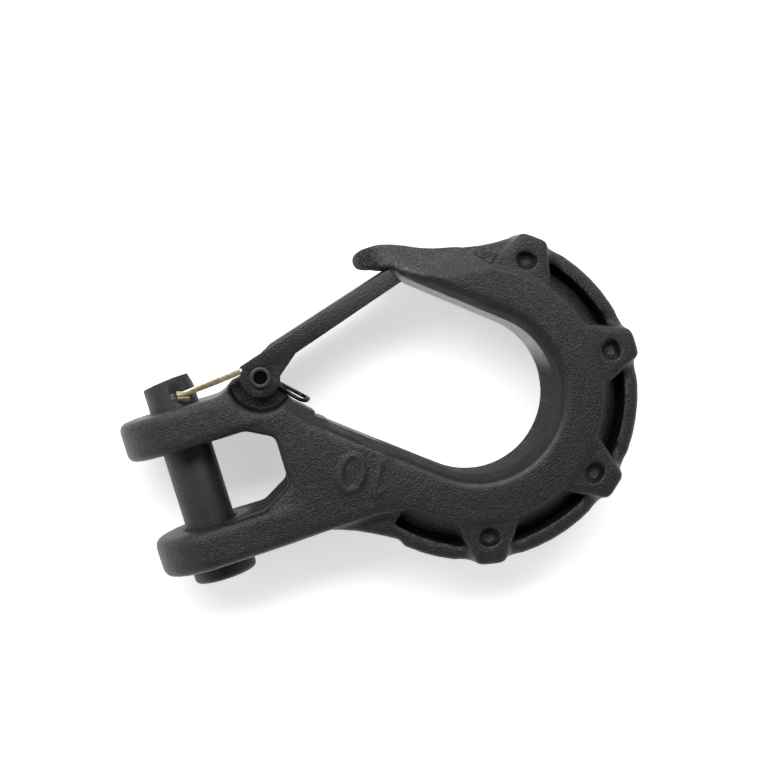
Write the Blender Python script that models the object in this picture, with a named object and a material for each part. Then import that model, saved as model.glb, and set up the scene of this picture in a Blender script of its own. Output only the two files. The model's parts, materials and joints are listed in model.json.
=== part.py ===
"""Clevis slip hook with a sprung safety latch, for 10 mm (3/8 inch) chain.

The hook lies on its side. +X runs from the clevis to the bowl, +Y towards the latch and
+Z up through the thickness of the forging. All sizes below are in millimetres, measured
from the middle of the clevis pin. An empty at the top of the tree puts the world origin
under the middle of the hook, on the surface that it lies on.
"""
import math

import bmesh
import bpy
from mathutils import Matrix, Vector

MM = 0.001
GAP = 0.3                       # clearance between neighbouring pieces
ORIGIN = Vector((51.4, 1.25, -15.0))

# forged body
BODY_HALF = 12.0                # half thickness of the shank and bowl
CROWN_EDGE = 1.6
BOWL = (74.1, 1.0)              # centre of the bowl, shared by throat, crown and rim
THROAT_R = 20.35
THROAT_TILT = 141.0             # direction in which the throat's two walls run, degrees
THROAT_WALL = 36.4              # length of the straight walls
STRIP_HALF = 8.0                # half height of the flat strip inside the throat
THROAT_BEVEL = 2.2
CROWN_R = 32.7
SKIRT_R = 37.5
SKIRT_HALF = 4.5
RIM_R = 43.0
RIM_HALF = 8.5
RIM_INNER_R = 39.3
RIM_EDGE = 3.0
WEB_HALF = 3.5                  # half thickness of the pocket floors
ARC_STEP = 6.0                  # degrees between the points of an arc

# four wear lugs on the rim, each with a blind dimple on both faces
BOSS_COUNT = 4
BOSS_FIRST = 53.2
BOSS_STEP = -51.7
BOSS_HALF = 11.3
BOSS_EDGE = 0.8
BOSS_SIDE = [(26.0, 8.2), (33.0, 8.0), (36.0, 7.2), (39.0, 5.8), (42.0, 4.6), (43.2, 4.0), (43.7, 3.0)]
DIMPLE_RADIUS = 36.6
DIMPLE_TOP_R = 2.8
DIMPLE_FLOOR_R = 1.5
DIMPLE_DEPTH = 2.7

# clevis
EAR_R = 15.0
EAR_UPPER = (9.6, 20.0)         # inner and outer face of the ear beside the latch
EAR_LOWER = (-10.6, -20.9)
EAR_EDGE = 2.0
ARM_END = 27.0
BORE_R = 6.75

# clevis pin and its split pin
PIN_R = 6.35
PIN_TOP = 27.5
PIN_HEAD_R = 8.1
PIN_HEAD = 3.8
PIN_TURN = 17.0                 # how far the split pin's hole is turned from upright
SPLIT_HOLE_R = 1.6
SPLIT_HOLE_Y = 22.7
SPLIT_WIRE_R = 0.6
SPLIT_EYE_R = 1.8

# latch, rivet and spring
PIVOT = (23.0, 21.1)
LUG_R = 4.8
LUG_HALF = 2.3
RECESS_R = 8.5
PIVOT_HOLE_R = 2.5
LATCH_HALF = 7.0
CHEEK = 1.5
LATCH_WEB = 1.6
LATCH_EAR_R = 5.0
WEB_START = 26.0                # the folded web begins right of the pivot
RIVET_R = 2.2
RIVET_BORE_R = 1.6
RIVET_RIM_R = 2.75
RIVET_CORE_HALF = 3.0            # half length of the solid core between the drilled ends
RIVET_RIM = 0.7
SPRING_WIRE_R = 0.5
SPRING_COIL_R = 3.3
SPRING_TURNS = 2
SPRING_PITCH = 1.02
SPRING_LEG = 12.0
SPRING_TIP = (33.2, 12.1)

LOOKS = {                       # colour, roughness, metallic
    "forged_black": ((0.030, 0.031, 0.034), 0.55, 0.6),
    "pin_black": ((0.022, 0.023, 0.026), 0.40, 0.7),
    "latch_black": ((0.034, 0.035, 0.038), 0.50, 0.6),
    "rivet_steel": ((0.060, 0.060, 0.062), 0.35, 0.9),
    "spring_steel": ((0.045, 0.045, 0.047), 0.35, 0.9),
    "zinc_yellow": ((0.780, 0.700, 0.480), 0.30, 0.9),
}


def clear_scene():
    for old in list(bpy.data.objects):
        bpy.data.objects.remove(old, do_unlink=True)


def material(name):
    found = bpy.data.materials.get(name)
    if found:
        return found
    colour, roughness, metallic = LOOKS[name]
    made = bpy.data.materials.new(name)
    made.use_nodes = True
    shader = made.node_tree.nodes["Principled BSDF"]
    shader.inputs["Base Color"].default_value = (*colour, 1.0)
    shader.inputs["Roughness"].default_value = roughness
    shader.inputs["Metallic"].default_value = metallic
    return made


def empty(name, place, parent=None):
    made = bpy.data.objects.new(name, None)
    made.location = Vector(place) * MM
    made.parent = parent
    bpy.context.collection.objects.link(made)
    return made


def add_piece(name, bm, look, parent):
    """A finished bmesh in millimetres becomes a named object in metres."""
    bmesh.ops.recalc_face_normals(bm, faces=bm.faces)
    bmesh.ops.scale(bm, vec=(MM, MM, MM), verts=bm.verts)
    mesh = bpy.data.meshes.new(name)
    bm.to_mesh(mesh)
    bm.free()
    mesh.materials.append(material(look))
    mesh.shade_smooth()
    mesh.set_sharp_from_angle(angle=math.radians(35))
    made = bpy.data.objects.new(name, mesh)
    made.parent = parent
    bpy.context.collection.objects.link(made)
    return made


def add_helper(name, bm, parent):
    """A cutter or an added block: it shapes its neighbour and is no piece itself."""
    made = add_piece(name, bm, "forged_black", parent)
    made.hide_render = True
    made.display_type = "WIRE"
    return made


def combine(target, helper, operation):
    step = target.modifiers.new(helper.name, "BOOLEAN")
    step.operation = operation
    step.solver = "EXACT"
    step.object = helper


def polar(centre, radius, degrees):
    turn = math.radians(degrees)
    return (centre[0] + radius * math.cos(turn), centre[1] + radius * math.sin(turn))


def arc(centre, radius, start, end):
    """Points along an arc, both ends included."""
    steps = max(1, round(abs(end - start) / ARC_STEP))
    return [polar(centre, radius, start + (end - start) * i / steps) for i in range(steps + 1)]


def add_prism(bm, outline, low, high):
    """Extrude a flat outline from one height to another; returns its vertices."""
    base = [bm.verts.new((x, y, low)) for x, y in outline]
    face = bm.faces.new(base)
    raised = bmesh.ops.extrude_face_region(bm, geom=[face])["geom"]
    top = [part for part in raised if isinstance(part, bmesh.types.BMVert)]
    bmesh.ops.translate(bm, vec=(0, 0, high - low), verts=top)
    return base + top


def prism(outline, low, high, edge=0.0, segments=2):
    """A prism whose two rims are rounded over by edge."""
    bm = bmesh.new()
    add_prism(bm, outline, low, high)
    bmesh.ops.recalc_face_normals(bm, faces=bm.faces)
    if edge:
        rims = [e for e in bm.edges if abs(e.verts[0].co.z - e.verts[1].co.z) < 1e-6]
        bmesh.ops.bevel(bm, geom=rims, offset=edge, segments=segments, profile=0.5,
                        affect="EDGES", clamp_overlap=True, material=-1)
    return bm


def turned(profile, steps, axis=(0, 0, 1)):
    """A solid of revolution from (radius, height) pairs, closed on the axis where radius is 0."""
    bm = bmesh.new()
    ring = [bm.verts.new((radius, 0, height)) for radius, height in profile]
    edges = [bm.edges.new(pair) for pair in zip(ring, ring[1:])]
    if profile[0][0] > 0:
        edges.append(bm.edges.new((ring[-1], ring[0])))
    bmesh.ops.spin(bm, geom=ring + edges, cent=(0, 0, 0), axis=(0, 0, 1),
                   angle=math.tau, steps=steps, use_merge=True)
    bmesh.ops.remove_doubles(bm, verts=bm.verts, dist=0.001)
    turn = Vector((0, 0, 1)).rotation_difference(Vector(axis)).to_matrix()
    bmesh.ops.rotate(bm, cent=(0, 0, 0), matrix=turn, verts=bm.verts)
    return bm


def moved(bm, offset):
    bmesh.ops.translate(bm, vec=offset, verts=bm.verts)
    return bm


def mirrored_in_z(bm):
    """Add the same shape on the forging's other face."""
    copy = bmesh.ops.duplicate(bm, geom=bm.verts[:] + bm.edges[:] + bm.faces[:])["geom"]
    verts = [part for part in copy if isinstance(part, bmesh.types.BMVert)]
    faces = [part for part in copy if isinstance(part, bmesh.types.BMFace)]
    bmesh.ops.scale(bm, vec=(1, 1, -1), verts=verts)
    bmesh.ops.reverse_faces(bm, faces=faces)
    return bm


# ---- forged body -------------------------------------------------------------------------

def crown_outline():
    """The thick part of the forging in plan, closed across the throat, which is cut later."""
    hub = [(11.0, 10.6), (11.0, 19.6), (12.8, 20.5), (16.2, 22.7)]
    lug = arc(PIVOT, LUG_R, 157, -20)
    mouth = [(28.1, 15.5), (29.3, 12.9), (32.0, 10.6), (34.2, 8.4), (40.0, 11.0), (66.5, 30.0)]
    ledge = [(65.6, 32.4), (62.7, 38.6), (59.6, 38.8)]
    tip = arc((57.0, 42.3), 2.6, 262, 90)
    back = [(62.3, 44.9), (65.0, 44.0), (70.0, 41.9), (75.0, 40.4), (80.8, 39.0)]
    bowl = arc(BOWL, CROWN_R, 66, -135)
    arm = [(45.0, -21.4), (38.0, -20.8), (28.0, -20.7), (11.0, -20.4)]
    window = [(11.0, -11.1), (13.9, -11.0), (22.0, -6.4), (22.1, 5.9), (14.2, 10.2)]
    return hub + lug + mouth + ledge + tip + back + bowl + arm + window


def rim_outline():
    """The thinner flange round the bowl, running out into the nose and the lower arm."""
    outside = [(76.0, 36.5), (80.5, 38.7), (85.0, 38.2), (90.0, 37.9), (95.0, 37.6)]
    outside += arc(BOWL, RIM_R, 58, -132)
    outside += [(44.4, -28.9), (39.6, -26.1), (34.7, -23.5), (28.0, -20.9), (24.0, -17.3)]
    return outside + arc(BOWL, 27.0, -140, 75)


def boss_outline():
    return BOSS_SIDE + [(radius, -half) for radius, half in reversed(BOSS_SIDE)]


def throat_cutter():
    """A slot with one round end, wider towards both faces than at the strip."""
    bm = bmesh.new()
    levels = [(-STRIP_HALF, 0.0), (STRIP_HALF, 0.0), (BODY_HALF, THROAT_BEVEL), (BODY_HALF + 6, THROAT_BEVEL + 3)]
    levels = [(-z, extra) for z, extra in reversed(levels[2:])] + levels
    loops = []
    for z, extra in levels:
        radius = THROAT_R + extra
        flat = arc(BOWL, radius, THROAT_TILT - 90, THROAT_TILT - 270)
        run = Vector(polar((0, 0), THROAT_WALL, THROAT_TILT))
        flat = [tuple(Vector(flat[0]) + run)] + flat + [tuple(Vector(flat[-1]) + run)]
        ring = [bm.verts.new((x, y, z)) for x, y in flat]
        loops.append([bm.edges.new(pair) for pair in zip(ring, ring[1:] + ring[:1])])
    for lower, upper in zip(loops, loops[1:]):
        bmesh.ops.bridge_loops(bm, edges=lower + upper)
    bmesh.ops.holes_fill(bm, edges=loops[0] + loops[-1])
    return bm


def pocket_cutter():
    ring = arc(BOWL, RIM_INNER_R, 50, -139) + arc(BOWL, 29.0, -139, 50)
    bm = bmesh.new()
    add_prism(bm, ring, WEB_HALF, BODY_HALF + 4)
    return mirrored_in_z(bm)


def skirt():
    """The crown's sloping side, down to the pocket floor."""
    bm = bmesh.new()
    side = [(30.0, BODY_HALF - 1.2), (CROWN_R + 0.4, BODY_HALF - 1.2), (SKIRT_R, SKIRT_HALF)]
    side += [(radius, -height) for radius, height in reversed(side)]
    ring = [bm.verts.new((radius, 0, height)) for radius, height in side]
    face = bm.faces.new(ring)
    start, sweep = 62.0, -201.0
    bmesh.ops.rotate(bm, cent=(0, 0, 0), matrix=Matrix.Rotation(math.radians(start), 3, "Z"), verts=bm.verts)
    bmesh.ops.spin(bm, geom=[face], cent=(0, 0, 0), axis=(0, 0, 1), angle=math.radians(sweep),
                   steps=round(abs(sweep) / ARC_STEP), use_duplicate=False)
    return moved(bm, (*BOWL, 0))


def nose_cutter():
    """Two wedges that thin the nose towards its back edge and its tip."""
    high_inner = Vector((82.0, 31.0, 12.0))
    near_ledge = Vector((63.0, 37.5, 9.5))
    back_edge = Vector((80.0, 39.2, 7.5))
    normal = (near_ledge - high_inner).cross(back_edge - high_inner).normalized()
    if normal.z < 0:
        normal = -normal
    bm = bmesh.new()
    bmesh.ops.create_cube(bm, size=1.0)
    bmesh.ops.translate(bm, vec=(0, 0, 0.5), verts=bm.verts)
    bmesh.ops.scale(bm, vec=(60, 60, 14), verts=bm.verts)
    tilt = Vector((0, 0, 1)).rotation_difference(normal).to_matrix()
    bmesh.ops.rotate(bm, cent=(0, 0, 0), matrix=tilt, verts=bm.verts)
    return mirrored_in_z(moved(bm, (70.0, 38.0, high_inner.z - (normal.x * (70.0 - high_inner.x)
                                    + normal.y * (38.0 - high_inner.y)) / normal.z)))


def dimple_cutter():
    bm = bmesh.new()
    for index in range(BOSS_COUNT):
        x, y = polar(BOWL, DIMPLE_RADIUS, BOSS_FIRST + BOSS_STEP * index)
        depth = DIMPLE_DEPTH + 1.0
        slope = (DIMPLE_TOP_R - DIMPLE_FLOOR_R) / DIMPLE_DEPTH
        centre = Matrix.Translation((x, y, BOSS_HALF - DIMPLE_DEPTH + depth / 2))
        bmesh.ops.create_cone(bm, cap_ends=True, segments=24, radius1=DIMPLE_FLOOR_R,
                              radius2=DIMPLE_FLOOR_R + slope * depth, depth=depth, matrix=centre)
    return mirrored_in_z(bm)


def ear_arm(inner, outer):
    """One ear of the clevis with the arm that joins it to the shank, seen along the pin."""
    side = arc((0, 0), EAR_R, 90, 270) + [(5.0, -14.6), (24.0, -12.2), (ARM_END, -12.05)]
    side += [(ARM_END, 12.05), (24.0, 12.2), (5.0, 14.6)]
    bm = prism(side, min(inner, outer), max(inner, outer), EAR_EDGE, 3)
    bmesh.ops.rotate(bm, cent=(0, 0, 0), matrix=Matrix.Rotation(math.radians(-90), 3, "X"), verts=bm.verts)
    return bm


def cylinder(radius, low, high, steps=32, axis=(0, 0, 1)):
    return turned([(0, high), (radius, high), (radius, low), (0, low)], steps, axis)


def hook_body(parent):
    body = add_piece("hook_body", prism(crown_outline(), -BODY_HALF, BODY_HALF, CROWN_EDGE), "forged_black", parent)
    combine(body, add_helper("nose_taper", nose_cutter(), parent), "DIFFERENCE")
    rim = add_helper("rim_block", prism(rim_outline(), -RIM_HALF, RIM_HALF, RIM_EDGE, 3), parent)
    combine(rim, add_helper("rim_pockets", pocket_cutter(), parent), "DIFFERENCE")
    combine(body, rim, "UNION")
    combine(body, add_helper("crown_skirt", skirt(), parent), "UNION")
    for index in range(BOSS_COUNT):
        bm = prism(boss_outline(), -BOSS_HALF, BOSS_HALF, BOSS_EDGE, 2)
        turn = Matrix.Rotation(math.radians(BOSS_FIRST + BOSS_STEP * index), 3, "Z")
        bmesh.ops.rotate(bm, cent=(0, 0, 0), matrix=turn, verts=bm.verts)
        combine(body, add_helper(f"wear_lug_{index + 1}", moved(bm, (*BOWL, 0)), parent), "UNION")
    combine(body, add_helper("upper_arm", ear_arm(*EAR_UPPER), parent), "UNION")
    combine(body, add_helper("lower_arm", ear_arm(*EAR_LOWER), parent), "UNION")
    recess = mirrored_in_z(moved(cylinder(RECESS_R, LUG_HALF, 20, 40), (*PIVOT, 0)))
    cutters = {
        "throat_slot": throat_cutter(),
        "latch_recess": recess,
        "pivot_hole": moved(cylinder(PIVOT_HOLE_R, -9, 9, 24), (*PIVOT, 0)),
        "pin_bore": cylinder(BORE_R, -30, 30, 48, (0, 1, 0)),
        "dimples": dimple_cutter(),
    }
    for name, bm in cutters.items():
        combine(body, add_helper(name, bm, parent), "DIFFERENCE")


# ---- clevis pin and split pin ------------------------------------------------------------

def clevis_pin(parent):
    """Headed pin, sawn off at its far end, with a cross hole for the split pin."""
    low = EAR_LOWER[1] - GAP
    profile = [(0, PIN_TOP), (PIN_R - 0.4, PIN_TOP), (PIN_R, PIN_TOP - 0.4), (PIN_R, low),
               (PIN_HEAD_R, low), (PIN_HEAD_R, low - PIN_HEAD + 1.3), (PIN_HEAD_R - 1.3, low - PIN_HEAD),
               (0, low - PIN_HEAD)]
    pin = add_piece("clevis_pin", turned(profile, 48, (0, 1, 0)), "pin_black", parent)
    hole = moved(cylinder(SPLIT_HOLE_R, -10, 10, 20), (0, SPLIT_HOLE_Y, 0))
    combine(pin, add_helper("split_pin_hole", hole, parent), "DIFFERENCE")


def wire(name, path, radius, look, parent, sides=2):
    """A round wire along a list of points, with closed ends."""
    curve = bpy.data.curves.new(name, "CURVE")
    curve.dimensions = "3D"
    curve.bevel_depth = radius * MM
    curve.bevel_resolution = sides
    curve.use_fill_caps = True
    spline = curve.splines.new("POLY")
    spline.points.add(len(path) - 1)
    for point, place in zip(spline.points, path):
        point.co = (*(Vector(place) * MM), 1.0)
    curve.materials.append(material(look))
    made = bpy.data.objects.new(name, curve)
    made.parent = parent
    bpy.context.collection.objects.link(made)
    return made


def split_pin(parent):
    """One wire: the long leg bent towards the latch, the eye behind, the short leg bent down."""
    apart = SPLIT_WIRE_R + 0.05
    y = SPLIT_HOLE_Y
    back = -(PIN_R + 1.6)
    eye = back - SPLIT_EYE_R * 1.2
    long_leg = [(16.0, 24.1, 11.6), (11.0, 23.2, 10.7), (6.0, 22.4, 9.7), (2.6, 22.2, 9.1), (1.0, 22.6, 8.4)]
    long_leg += [(0.2, y + apart, 7.2), (0, y + apart, 6.0), (0, y + apart, 0.0), (0, y + apart, back)]
    loop = [(0, y + SPLIT_EYE_R * math.cos(t), eye - SPLIT_EYE_R * math.sin(t))
            for t in (math.pi * i / 8 for i in range(9))]
    short_leg = [(0, y - apart, back), (0, y - apart, 0.0), (0, y - apart, 6.2), (0.1, y - apart - 0.2, 7.3),
                 (0.6, y - 1.1, 8.0), (1.3, y - 1.4, 8.5)]
    wire("split_pin", long_leg + loop + short_leg, SPLIT_WIRE_R, "zinc_yellow", parent)


# ---- latch, rivet and spring -------------------------------------------------------------

def latch_outline():
    ear = arc((0, 0), LATCH_EAR_R, 138, 352)
    blade = [(10.3, 3.3), (41.2, 12.9), (39.0, 17.2), (4.9, 7.4), (2.0, 5.7), (-4.4, 3.8)]
    return ear + blade


def latch(parent):
    """A folded channel: two cheeks with round ears, and the web along its outer edge."""
    bm = prism(latch_outline(), -LATCH_HALF, LATCH_HALF, 0.5, 2)
    channel = add_piece("latch", bm, "latch_black", parent)
    inside = LATCH_HALF - CHEEK
    slope = math.atan2(17.2 - 7.4, 39.0 - 4.9)
    drop = LATCH_WEB / math.cos(slope)
    start = WEB_START - PIVOT[0]
    under = [7.4 + (x - 4.9) * math.tan(slope) - drop for x in (start, 44.0)]
    hollow = [(-8, -8), (44.0, -8), (44.0, under[1]), (start, under[0]), (start, 12.0), (-8, 12.0)]
    combine(channel, add_helper("latch_hollow", prism(hollow, -inside, inside), parent), "DIFFERENCE")
    combine(channel, add_helper("latch_holes", cylinder(PIVOT_HOLE_R, -9, 9, 24), parent), "DIFFERENCE")


def latch_rivet(parent):
    """Rivet through both cheeks and the hook's lug, drilled and rolled over at both ends."""
    inner = LATCH_HALF + GAP
    outer = inner + RIVET_RIM
    half = [(0.0, RIVET_CORE_HALF), (RIVET_BORE_R, RIVET_CORE_HALF), (RIVET_BORE_R, outer),
            (RIVET_RIM_R - 0.3, outer), (RIVET_RIM_R, outer - 0.3), (RIVET_RIM_R, inner), (RIVET_R, inner)]
    profile = half + [(radius, -height) for radius, height in reversed(half)]
    add_piece("latch_rivet", turned(profile, 32), "rivet_steel", parent)


def latch_spring(parent):
    """Double torsion spring: two coils beside the lug, one loop on the shank, two legs on the web."""
    web_direction = math.atan2(17.2 - 7.4, 39.0 - 4.9)
    start = web_direction + math.pi / 2
    tip = Vector(SPRING_TIP) - Vector(PIVOT)
    reach = math.sqrt(tip.length_squared - SPRING_COIL_R ** 2)
    finish = math.atan2(tip.y, tip.x) + math.atan2(SPRING_COIL_R, reach) - math.pi / 2
    sweep = (start - finish) % math.tau + math.tau * (SPRING_TURNS - 1)
    outer = LUG_HALF + GAP + SPRING_WIRE_R + SPRING_PITCH * sweep / math.tau
    leg_end = Vector((math.cos(start), math.sin(start))) * SPRING_COIL_R
    leg_end += Vector((math.cos(web_direction), math.sin(web_direction))) * SPRING_LEG
    half = [(*leg_end, outer)]
    steps = round(math.degrees(sweep) / 20)
    for i in range(steps + 1):
        turn = start + sweep * i / steps
        half.append((SPRING_COIL_R * math.cos(turn), SPRING_COIL_R * math.sin(turn),
                     outer - SPRING_PITCH * (sweep * i / steps) / math.tau))
    beside = half[-1][2]
    half += [(tip.x - 1.2, tip.y + 0.65, beside * 0.75), (tip.x - 0.3, tip.y + 0.15, beside * 0.4)]
    path = half + [(tip.x, tip.y, 0.0)] + [(x, y, -z) for x, y, z in reversed(half)]
    wire("latch_spring", path, SPRING_WIRE_R, "spring_steel", parent)


def build():
    clear_scene()
    frame = empty("hook_frame", -ORIGIN)
    hook_body(frame)
    pin_axis = empty("pin_axis", (0, 0, 0), frame)
    pin_axis.rotation_euler = (0, math.radians(PIN_TURN), 0)
    clevis_pin(pin_axis)
    split_pin(pin_axis)
    latch_axis = empty("latch_axis", (*PIVOT, 0), frame)
    latch(latch_axis)
    latch_rivet(latch_axis)
    latch_spring(latch_axis)


build()
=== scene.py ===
"""Finished look of the clevis slip hook: forged grain, scuffed coat with painted highlights, folded latch,
wire and lights.

Run it as a script beside model.glb and model.json, which it reads. Each piece of the hook has an operator,
and so has the stage; the panel in the 3D view's sidebar lists them.
millimetres from the middle of the clevis pin and are then placed in the frame in metres.
"""

import json
import math

import bmesh
import bpy
import numpy as np
from bpy.props import FloatProperty, FloatVectorProperty, IntProperty, PointerProperty
from bpy.types import Operator, Panel, PropertyGroup
from mathutils import Matrix, Vector, noise


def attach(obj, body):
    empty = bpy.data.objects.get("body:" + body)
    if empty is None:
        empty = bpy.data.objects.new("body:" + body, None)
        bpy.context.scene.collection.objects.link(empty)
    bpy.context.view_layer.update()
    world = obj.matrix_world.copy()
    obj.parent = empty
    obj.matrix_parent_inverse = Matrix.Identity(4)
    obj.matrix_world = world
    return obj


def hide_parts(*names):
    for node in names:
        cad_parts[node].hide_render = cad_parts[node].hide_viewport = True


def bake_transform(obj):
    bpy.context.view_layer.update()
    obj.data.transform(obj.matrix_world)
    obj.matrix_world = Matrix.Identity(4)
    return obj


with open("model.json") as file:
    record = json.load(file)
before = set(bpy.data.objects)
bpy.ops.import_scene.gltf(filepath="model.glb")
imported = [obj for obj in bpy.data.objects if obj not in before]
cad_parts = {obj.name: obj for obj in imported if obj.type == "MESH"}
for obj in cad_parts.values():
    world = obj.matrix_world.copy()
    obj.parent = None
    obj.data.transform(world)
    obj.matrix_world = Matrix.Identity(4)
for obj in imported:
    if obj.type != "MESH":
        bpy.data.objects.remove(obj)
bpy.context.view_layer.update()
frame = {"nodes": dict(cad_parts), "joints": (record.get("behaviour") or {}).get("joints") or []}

bl_info = {
    "name": "Clevis slip hook",
    "version": (1, 0, 0),
    "blender": (4, 5, 0),
    "location": "View3D > Sidebar > Hook",
    "description": "Builds the finished pieces of a clevis slip hook round its packed model",
    "category": "Object",
}

MM = 0.001
JOINTS = {joint["name"]: joint for joint in frame["joints"]}
PIN = Vector(JOINTS["pin_turn"]["pos_m"])                       # middle of the clevis pin
PIVOT = (Vector(JOINTS["latch_hinge"]["pos_m"]) - PIN) / MM     # latch pivot, from the pin
PIN_TURN = Matrix.Rotation(math.radians(17.0), 4, "Y")          # the split pin leans this far

# places on the forging, in millimetres from the middle of the clevis pin
BOWL = Vector((74.1, 1.0, 0.0))         # centre of the bowl, shared by throat, crown and rim
THROAT_R = 20.35                        # radius of the throat's round end
THROAT_TURN = math.radians(141.0)       # direction in which the throat's straight walls run
THROAT_RUN = Vector((math.cos(THROAT_TURN), math.sin(THROAT_TURN), 0.0))
THROAT_WALL = 36.4                      # the throat's straight walls end this far from the bowl's centre
STRIP_HALF = 8.0                        # half height of the trimmed strip inside the throat
SKIRT_R = 37.6                          # foot of the crown's sloping side, where the slit begins
SLIT_HALF = 4.2                         # the pocket floors lie lower than this
NECK_X = 44.0                           # rim and pockets lie to the right of this
LUG_R = 36.6                            # ring on which the wear lugs' dimples stand
LUG_COUNT = 4
LUG_FIRST = 53.2                        # direction of the lug beside the nose, in degrees
LUG_STEP = -51.7
MARK = Vector((40.2, -9.7, 11.95))      # middle of the raised size mark
MARK_CLEAR = 7.5                        # coarse rounding stays this far from the mark
SHOULDER = (Vector((26.2, 17.6, 0.0)), Vector((33.2, 7.8, 0.0)))    # edge between recess and throat

# the camera's right and upward directions, and its place
VIEW_RIGHT = Vector((0.9518, -0.2881, 0.1052))
VIEW_UP = Vector((0.2934, 0.9552, -0.0385))
EYE = Vector((23.7, 32.1, 326.0))       # in millimetres from the middle of the clevis pin


# ---- mesh helpers ------------------------------------------------------------------------

def edges_in(geometry):
    return [part for part in geometry if isinstance(part, bmesh.types.BMEdge)]


def verts_in(geometry):
    return [part for part in geometry if isinstance(part, bmesh.types.BMVert)]


def polar(centre, radius, degrees):
    turn = math.radians(degrees)
    return Vector((centre[0] + radius * math.cos(turn), centre[1] + radius * math.sin(turn), 0.0))


def outline_prism(bm, outline, low, high):
    """Extrude a flat outline from one height to another."""
    base = bm.faces.new([bm.verts.new((point[0], point[1], low)) for point in outline])
    raised = bmesh.ops.extrude_face_region(bm, geom=[base])["geom"]
    bmesh.ops.translate(bm, vec=(0, 0, high - low), verts=verts_in(raised))
    bmesh.ops.recalc_face_normals(bm, faces=bm.faces)


def round_over(bm, edges, width, segments):
    bmesh.ops.bevel(bm, geom=edges, offset=width, segments=segments, profile=0.5,
                    affect="EDGES", clamp_overlap=True, material=-1)


def sharp_edges(bm, degrees):
    limit = math.radians(degrees)
    return [e for e in bm.edges if e.is_manifold and e.calc_face_angle(0.0) > limit]


def turned(profile, steps):
    """A solid of revolution round Z from (radius, height) pairs."""
    bm = bmesh.new()
    ring = [bm.verts.new((radius, 0, height)) for radius, height in profile]
    edges = [bm.edges.new(pair) for pair in zip(ring, ring[1:])]
    if profile[0][0] > 0:
        edges.append(bm.edges.new((ring[-1], ring[0])))
    bmesh.ops.spin(bm, geom=ring + edges, cent=(0, 0, 0), axis=(0, 0, 1),
                   angle=math.tau, steps=steps, use_merge=True)
    bmesh.ops.remove_doubles(bm, verts=bm.verts, dist=0.001)
    bmesh.ops.recalc_face_normals(bm, faces=bm.faces)
    return bm


def rounded_corner(corner, before, after, radius, steps=4):
    """Points of a small arc that replaces a corner of a profile or an outline."""
    corner, before, after = Vector(corner), Vector(before), Vector(after)
    start = corner + (before - corner).normalized() * radius
    end = corner + (after - corner).normalized() * radius
    points = []
    for i in range(steps + 1):
        t = i / steps
        points.append(start * (1 - t) ** 2 + corner * (2 * t * (1 - t)) + end * t ** 2)
    return points


def frames_along(path, closed=False):
    """A turning frame for each point of a path, carried along without twist."""
    count = len(path)
    tangents = []
    for i in range(count):
        ahead = path[(i + 1) % count] if closed or i + 1 < count else path[i]
        behind = path[i - 1] if closed or i > 0 else path[i]
        tangents.append((ahead - behind).normalized())
    side = tangents[0].orthogonal().normalized()
    if abs(tangents[0].z) < 0.9:
        side = tangents[0].cross(Vector((0, 0, 1))).normalized()
    made = []
    for point, tangent in zip(path, tangents):
        side = (side - tangent * side.dot(tangent)).normalized()
        up = tangent.cross(side)
        made.append(Matrix((side, up, tangent)).transposed().to_4x4())
        made[-1].translation = point
    return made


def sweep(bm, path, section, closed=False, swell=None):
    """Extrude a closed section of (side, up) pairs from point to point of a path."""
    places = frames_along(path, closed)
    if swell is not None:
        places = [place @ Matrix.Diagonal((size, size, 1.0, 1.0)) for place, size in zip(places, swell)]
    ring = [bm.verts.new(places[0] @ Vector((side, up, 0.0))) for side, up in section]
    first = [bm.edges.new(pair) for pair in zip(ring, ring[1:] + ring[:1])]
    edges = first
    for here, there in zip(places, places[1:]):
        grown = bmesh.ops.extrude_edge_only(bm, edges=edges)["geom"]
        bmesh.ops.transform(bm, matrix=there @ here.inverted(), verts=verts_in(grown))
        edges = edges_in(grown)
    if closed:
        bmesh.ops.bridge_loops(bm, edges=edges + first)
    else:
        bmesh.ops.holes_fill(bm, edges=edges + first)
    bmesh.ops.recalc_face_normals(bm, faces=bm.faces)


def circle_section(radius, count=12):
    return [(radius * math.cos(math.tau * i / count), radius * math.sin(math.tau * i / count))
            for i in range(count)]


def smooth_path(points, per_span):
    """A Catmull-Rom curve through the points."""
    points = [Vector(point) for point in points]
    padded = [points[0] * 2 - points[1]] + points + [points[-1] * 2 - points[-2]]
    made = []
    for a, b, c, d in zip(padded, padded[1:], padded[2:], padded[3:]):
        for i in range(per_span):
            t = i / per_span
            made.append(0.5 * (2 * b + (c - a) * t + (2 * a - 5 * b + 4 * c - d) * t ** 2
                               + (3 * b - a - 3 * c + d) * t ** 3))
    return made + [points[-1]]


def to_mesh(name, bm):
    mesh = bpy.data.meshes.new(name)
    bm.to_mesh(mesh)
    bm.free()
    return mesh


def link(name, mesh):
    made = bpy.data.objects.new(name, mesh)
    bpy.context.scene.collection.objects.link(made)
    return made


def evaluated(obj):
    """The object's mesh with its modifiers applied, as a new mesh."""
    bpy.context.view_layer.update()
    depsgraph = bpy.context.evaluated_depsgraph_get()
    return bpy.data.meshes.new_from_object(obj.evaluated_get(depsgraph))


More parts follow.
